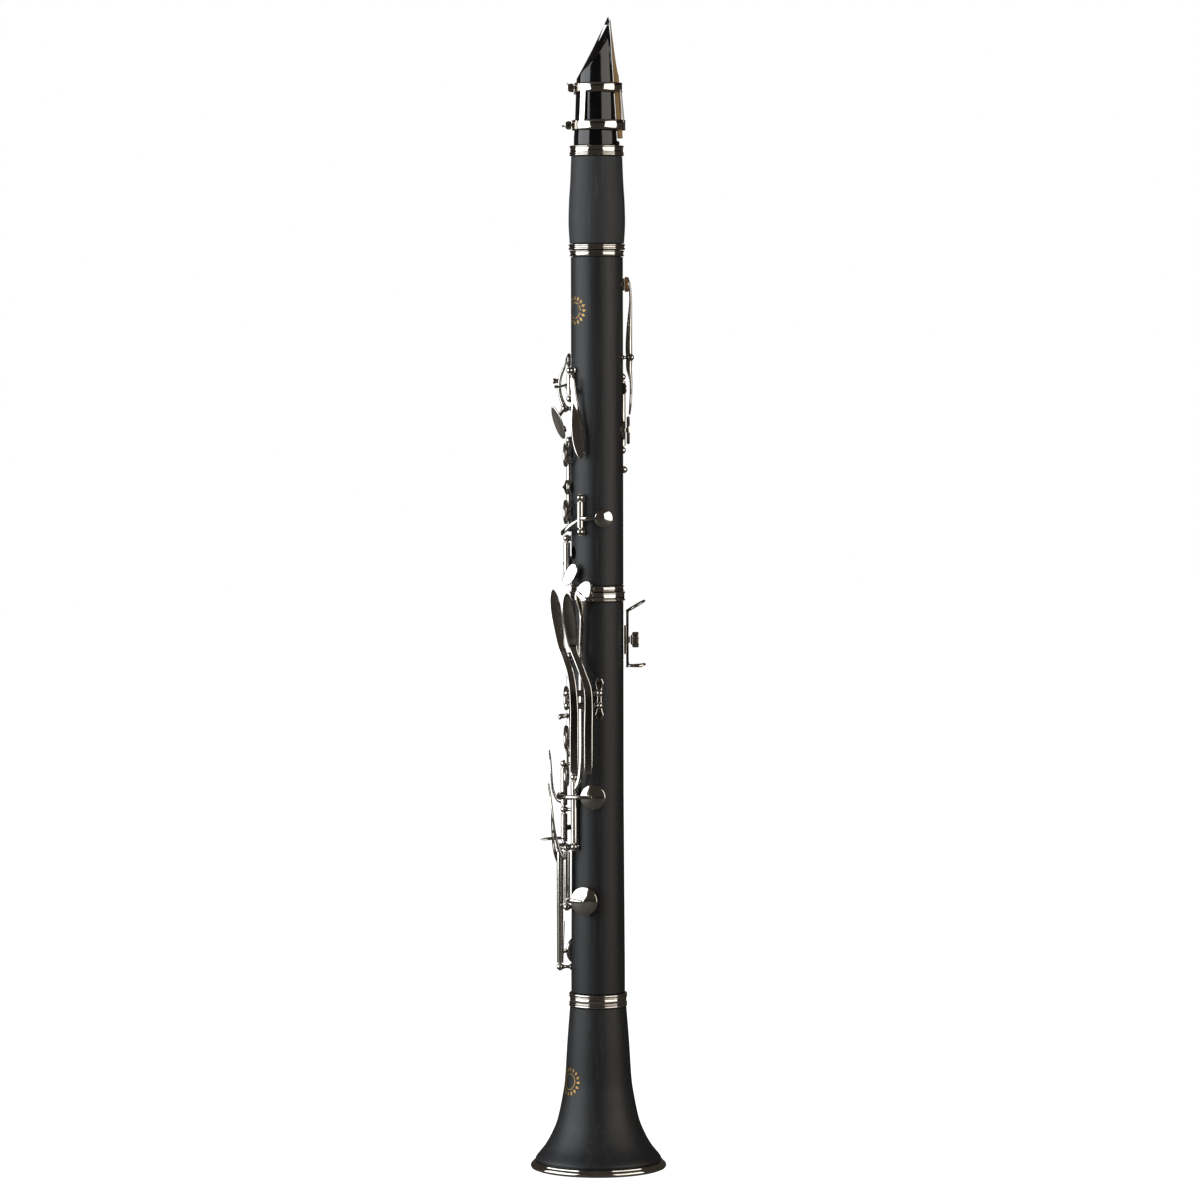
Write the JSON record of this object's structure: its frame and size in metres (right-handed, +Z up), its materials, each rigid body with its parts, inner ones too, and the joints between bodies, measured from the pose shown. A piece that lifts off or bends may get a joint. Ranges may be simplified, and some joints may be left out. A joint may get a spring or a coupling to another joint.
{
  "type": "clarinet",
  "caption": "Straight woodwind standing on its flared bell, with single reed mouthpiece, sprung keys, finger rings and thumb rest.",
  "frame": {"origin": "centre of the bell rim's flat lower face", "axes": "+Z up the bore to the mouthpiece, -X the finger side, +X the thumb side, -Y the player's left"},
  "size_m": [0.0788, 0.0788, 0.665],
  "materials": {
    "ebony": "matte black hardwood with fine lengthwise grain",
    "barrel_wood": "matte dark grey hardwood",
    "rubber_black": "polished black hard rubber",
    "nickel": "polished nickel plating",
    "cane": "dry cane",
    "cork": "sanded cork"
  },
  "bodies": {
    "body": {"bell": "ebony", "lower_joint": "ebony", "upper_joint": "ebony", "lower_tenon_cork": "cork", "middle_tenon_cork": "cork", "top_tenon_cork": "cork", "bell_rim": "nickel", "bell_ring": "nickel", "socket_ring": "nickel", "upper_joint_bottom_ring": "nickel", "upper_joint_top_ring": "nickel", "register_tube": "nickel", "thumb_tube": "nickel", "register_pivot": "nickel", "thumb_ring_pivot": "nickel", "trill_pivot_1": "nickel", "trill_pivot_2": "nickel", "a_key_pivot": "nickel", "g_sharp_pivot": "nickel", "left_ring_pivot": "nickel", "left_sliver_pivot": "nickel", "c_sharp_pivot": "nickel", "lever_pivots": "nickel", "f_sharp_lever_pivot": "nickel", "right_ring_pivot": "nickel", "right_sliver_pivot": "nickel", "low_key_pivots": "nickel", "far_pivot": "nickel", "thumb_rest_base": "nickel"},
    "head": {"barrel": "barrel_wood", "mouthpiece": "rubber_black", "mouthpiece_cork": "cork", "reed": "cane", "barrel_bottom_ring": "nickel", "barrel_top_ring": "nickel", "ligature": "nickel"},
    "lower_ligature_screw": {"ligature_screw_lower": "nickel"},
    "upper_ligature_screw": {"ligature_screw_upper": "nickel"},
    "thumb_rest": {"thumb_rest_slide": "nickel"},
    "thumb_rest_thumbscrew": {"thumb_rest_screw": "nickel"},
    "register_key": {"register_key": "nickel"},
    "thumb_ring_key": {"thumb_ring_key": "nickel"},
    "a_key": {"a_key": "nickel"},
    "g_sharp_key": {"g_sharp_key": "nickel"},
    "left_ring_key": {"left_ring_key": "nickel"},
    "left_sliver_key": {"left_sliver_key": "nickel"},
    "c_sharp_key": {"c_sharp_key": "nickel"},
    "f_lever": {"f_lever": "nickel"},
    "e_lever": {"e_lever": "nickel"},
    "f_sharp_lever": {"f_sharp_lever": "nickel"},
    "right_ring_key": {"right_ring_key": "nickel"},
    "right_sliver_key": {"right_sliver_key": "nickel"},
    "e_key": {"e_key": "nickel"},
    "f_key": {"f_key": "nickel"},
    "a_flat_key": {"a_flat_key": "nickel"},
    "f_sharp_key": {"f_sharp_key": "nickel"},
    "trill_key_1": {"trill_key_1": "nickel"},
    "trill_key_2": {"trill_key_2": "nickel"},
    "trill_key_3": {"trill_key_3": "nickel"},
    "trill_key_4": {"trill_key_4": "nickel"}
  },
  "joints": [
    {"name": "barrel_tuning", "type": "slide", "parent": "body", "child": "head", "axis": [0, 0, 1], "range_m": [0, 0.003]},
    {"name": "lower_ligature_screw_turn", "type": "hinge", "parent": "head", "child": "lower_ligature_screw", "pos_m": [-0.016, 0, 0.60335], "axis": [0, 1, 0], "range_deg": [-180, 180]},
    {"name": "upper_ligature_screw_turn", "type": "hinge", "parent": "head", "child": "upper_ligature_screw", "pos_m": [-0.0146, 0, 0.6248], "axis": [0, 1, 0], "range_deg": [-180, 180]},
    {"name": "thumb_rest_height", "type": "slide", "parent": "body", "child": "thumb_rest", "axis": [0, 0, 1], "range_m": [-0.005, 0.005]},
    {"name": "thumb_rest_screw_turn", "type": "hinge", "parent": "body", "child": "thumb_rest_thumbscrew", "pos_m": [0.02, 0, 0.307], "axis": [1, 0, 0], "range_deg": [-180, 180]},
    {"name": "register_key_press", "type": "hinge", "parent": "body", "child": "register_key", "pos_m": [0.0192, 0, 0.47], "axis": [0, 1, 0], "range_deg": [0, 3], "stiffness_Nm_per_rad": 0.02, "springref_deg": -11.46},
    {"name": "thumb_ring_key_press", "type": "hinge", "parent": "body", "child": "thumb_ring_key", "pos_m": [0.01453, 0.01095, 0.437], "axis": [0, 0, -1], "range_deg": [0, 7], "stiffness_Nm_per_rad": 0.02, "springref_deg": -11.46},
    {"name": "a_key_press", "type": "hinge", "parent": "body", "child": "a_key", "pos_m": [-0.0186, 0, 0.4406], "axis": [0, -1, 0], "range_deg": [0, 4], "stiffness_Nm_per_rad": 0.02, "springref_deg": -11.46},
    {"name": "g_sharp_key_press", "type": "hinge", "parent": "body", "child": "g_sharp_key", "pos_m": [-0.01559, -0.009, 0.454], "axis": [0, 0, 1], "range_deg": [0, 7], "stiffness_Nm_per_rad": 0.02, "springref_deg": -11.46},
    {"name": "left_ring_key_press", "type": "hinge", "parent": "body", "child": "left_ring_key", "pos_m": [-0.01607, 0.00854, 0.397], "axis": [0, 0, 1], "range_deg": [0, 6], "stiffness_Nm_per_rad": 0.02, "springref_deg": -11.46},
    {"name": "left_sliver_key_press", "type": "hinge", "parent": "body", "child": "left_sliver_key", "pos_m": [-0.0098, -0.0151, 0.38], "axis": [0, 0, -1], "range_deg": [0, 6], "stiffness_Nm_per_rad": 0.02, "springref_deg": -11.46},
    {"name": "c_sharp_key_press", "type": "hinge", "parent": "body", "child": "c_sharp_key", "pos_m": [-0.0176, 0, 0.353], "axis": [0, 0, 1], "range_deg": [0, 7], "stiffness_Nm_per_rad": 0.02, "springref_deg": -11.46},
    {"name": "f_lever_press", "type": "hinge", "parent": "body", "child": "f_lever", "pos_m": [-0.008, -0.02, 0.2702], "axis": [-1, 0, 0], "range_deg": [0, 3.5], "stiffness_Nm_per_rad": 0.02, "springref_deg": -11.46},
    {"name": "e_lever_press", "type": "hinge", "parent": "body", "child": "e_lever", "pos_m": [-0.008, -0.02, 0.2774], "axis": [-1, 0, 0], "range_deg": [0, 3], "stiffness_Nm_per_rad": 0.02, "springref_deg": -11.46},
    {"name": "f_sharp_lever_press", "type": "hinge", "parent": "body", "child": "f_sharp_lever", "pos_m": [-0.01371, -0.01151, 0.208], "axis": [0, 0, 1], "range_deg": [0, 4], "stiffness_Nm_per_rad": 0.02, "springref_deg": -11.46},
    {"name": "right_ring_key_press", "type": "hinge", "parent": "body", "child": "right_ring_key", "pos_m": [-0.01607, 0.00854, 0.268], "axis": [0, 0, 1], "range_deg": [0, 5], "stiffness_Nm_per_rad": 0.02, "springref_deg": -11.46},
    {"name": "right_sliver_key_press", "type": "hinge", "parent": "body", "child": "right_sliver_key", "pos_m": [-0.0112, 0.01434, 0.26], "axis": [0, 0, 1], "range_deg": [0, 5], "stiffness_Nm_per_rad": 0.02, "springref_deg": -11.46},
    {"name": "e_key_press", "type": "hinge", "parent": "body", "child": "e_key", "pos_m": [-0.022, -0.002, 0.152], "axis": [0, 0, -1], "range_deg": [0, 6], "stiffness_Nm_per_rad": 0.02, "springref_deg": -11.46},
    {"name": "f_key_press", "type": "hinge", "parent": "body", "child": "f_key", "pos_m": [-0.018, -0.007, 0.17], "axis": [0, 0, 1], "range_deg": [0, 7], "stiffness_Nm_per_rad": 0.02, "springref_deg": -11.46},
    {"name": "a_flat_key_press", "type": "hinge", "parent": "body", "child": "a_flat_key", "pos_m": [-0.0196, 0.009, 0.197], "axis": [0, 0, 1], "range_deg": [0, 7], "stiffness_Nm_per_rad": 0.02, "springref_deg": -11.46},
    {"name": "f_sharp_key_press", "type": "hinge", "parent": "body", "child": "f_sharp_key", "pos_m": [-0.0196, 0.009, 0.221], "axis": [0, 0, -1], "range_deg": [0, 4], "stiffness_Nm_per_rad": 0.02, "springref_deg": -11.46},
    {"name": "trill_key_1_press", "type": "hinge", "parent": "body", "child": "trill_key_1", "pos_m": [-0.00756, 0.01699, 0.42], "axis": [-0.9135, -0.4067, 0], "range_deg": [0, 3], "stiffness_Nm_per_rad": 0.02, "springref_deg": -11.46},
    {"name": "trill_key_2_press", "type": "hinge", "parent": "body", "child": "trill_key_2", "pos_m": [-0.00756, 0.01699, 0.42], "axis": [-0.9135, -0.4067, 0], "range_deg": [0, 3], "stiffness_Nm_per_rad": 0.02, "springref_deg": -11.46},
    {"name": "trill_key_3_press", "type": "hinge", "parent": "body", "child": "trill_key_3", "pos_m": [0.00815, 0.01672, 0.405], "axis": [-0.8988, 0.4384, 0], "range_deg": [0, 3], "stiffness_Nm_per_rad": 0.02, "springref_deg": -11.46},
    {"name": "trill_key_4_press", "type": "hinge", "parent": "body", "child": "trill_key_4", "pos_m": [0.00815, 0.01672, 0.405], "axis": [-0.8988, 0.4384, 0], "range_deg": [0, 3], "stiffness_Nm_per_rad": 0.02, "springref_deg": -11.46}
  ],
  "couplings": [
    {"joint": "f_lever_press", "follows": "f_key_press", "ratio": 0.5},
    {"joint": "e_lever_press", "follows": "e_key_press", "ratio": 0.5},
    {"joint": "f_sharp_lever_press", "follows": "f_sharp_key_press", "ratio": 1}
  ]
}
